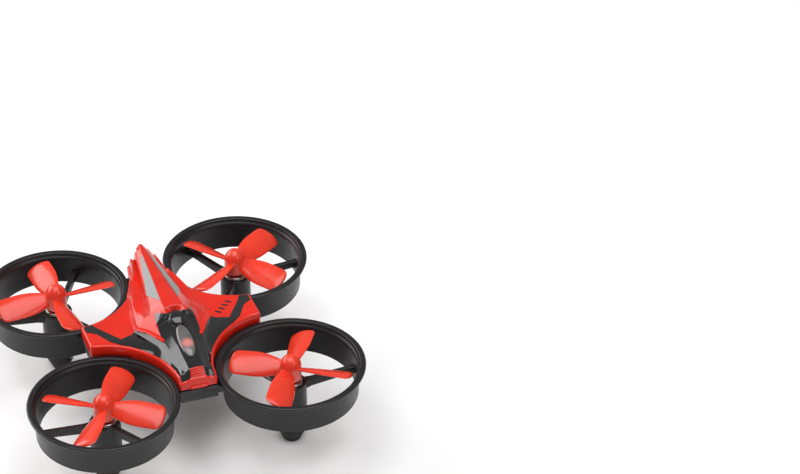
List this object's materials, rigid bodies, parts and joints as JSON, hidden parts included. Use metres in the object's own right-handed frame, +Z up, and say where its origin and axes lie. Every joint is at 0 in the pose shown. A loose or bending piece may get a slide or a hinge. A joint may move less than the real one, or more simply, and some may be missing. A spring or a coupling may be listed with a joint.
{
  "type": "mini palm drone",
  "caption": "Palm-sized quadcopter: ducted propellers on a black frame, red and black shell, rubber feet and a slide-out battery.",
  "frame": {"origin": "on the ground under the centre of the four motors", "axes": "+Z up; the nose points along -Y and the drone's own left is +X"},
  "size_m": [0.085, 0.085, 0.0324],
  "materials": {
    "frame_black": "satin moulded black",
    "foot_rubber": "soft matt",
    "shell_red": "gloss",
    "decal_black": "gloss film",
    "propeller_red": "translucent gloss",
    "smoked_window": "clear gloss",
    "motor_steel": "plated",
    "end_cap_nylon": "moulded",
    "lead_pvc": "soft satin",
    "board_green": "solder resist",
    "chip_black": "matt",
    "battery_foil": "foil pouch",
    "lamp_red": "clear red"
  },
  "bodies": {
    "airframe": {"duct_front_left": "frame_black", "foot_cap_front_left": "foot_rubber", "motor_can_front_left": "motor_steel", "motor_end_cap_front_left": "end_cap_nylon", "motor_lead_front_left": "lead_pvc", "duct_front_right": "frame_black", "foot_cap_front_right": "foot_rubber", "motor_can_front_right": "motor_steel", "motor_end_cap_front_right": "end_cap_nylon", "motor_lead_front_right": "lead_pvc", "duct_rear_left": "frame_black", "foot_cap_rear_left": "foot_rubber", "motor_can_rear_left": "motor_steel", "motor_end_cap_rear_left": "end_cap_nylon", "motor_lead_rear_left": "lead_pvc", "duct_rear_right": "frame_black", "foot_cap_rear_right": "foot_rubber", "motor_can_rear_right": "motor_steel", "motor_end_cap_rear_right": "end_cap_nylon", "motor_lead_rear_right": "lead_pvc", "canopy_screw_left": "motor_steel", "canopy_screw_right": "motor_steel", "canopy_screw_front": "motor_steel", "canopy_screw_rear": "motor_steel", "centre_deck": "frame_black", "battery_tray": "frame_black", "canopy_shell": "shell_red", "cockpit_glass": "smoked_window", "circuit_board": "board_green", "control_chip": "chip_black", "radio_chip": "chip_black", "radio_crystal": "motor_steel", "battery_socket": "end_cap_nylon", "lamp_front": "lamp_red", "lamp_rear": "lamp_red", "aerial_wire": "chip_black"},
    "rotor_front_left": {"propeller_front_left": "propeller_red", "motor_shaft_front_left": "motor_steel"},
    "rotor_front_right": {"propeller_front_right": "propeller_red", "motor_shaft_front_right": "motor_steel"},
    "rotor_rear_left": {"propeller_rear_left": "propeller_red", "motor_shaft_rear_left": "motor_steel"},
    "rotor_rear_right": {"propeller_rear_right": "propeller_red", "motor_shaft_rear_right": "motor_steel"},
    "battery": {"battery_cell": "battery_foil", "battery_board": "board_green"}
  },
  "joints": [
    {"name": "rotor_front_left_spin", "type": "hinge", "parent": "airframe", "child": "rotor_front_left", "pos_m": [0.0238, -0.0238, 0.0188], "axis": [0, 0, 1], "continuous": true},
    {"name": "rotor_front_right_spin", "type": "hinge", "parent": "airframe", "child": "rotor_front_right", "pos_m": [-0.0238, -0.0238, 0.0188], "axis": [0, 0, 1], "continuous": true},
    {"name": "rotor_rear_left_spin", "type": "hinge", "parent": "airframe", "child": "rotor_rear_left", "pos_m": [0.0238, 0.0238, 0.0188], "axis": [0, 0, 1], "continuous": true},
    {"name": "rotor_rear_right_spin", "type": "hinge", "parent": "airframe", "child": "rotor_rear_right", "pos_m": [-0.0238, 0.0238, 0.0188], "axis": [0, 0, 1], "continuous": true},
    {"name": "battery_slide", "type": "slide", "parent": "airframe", "child": "battery", "axis": [0, 1, 0], "range_m": [0, 0.028]}
  ]
}
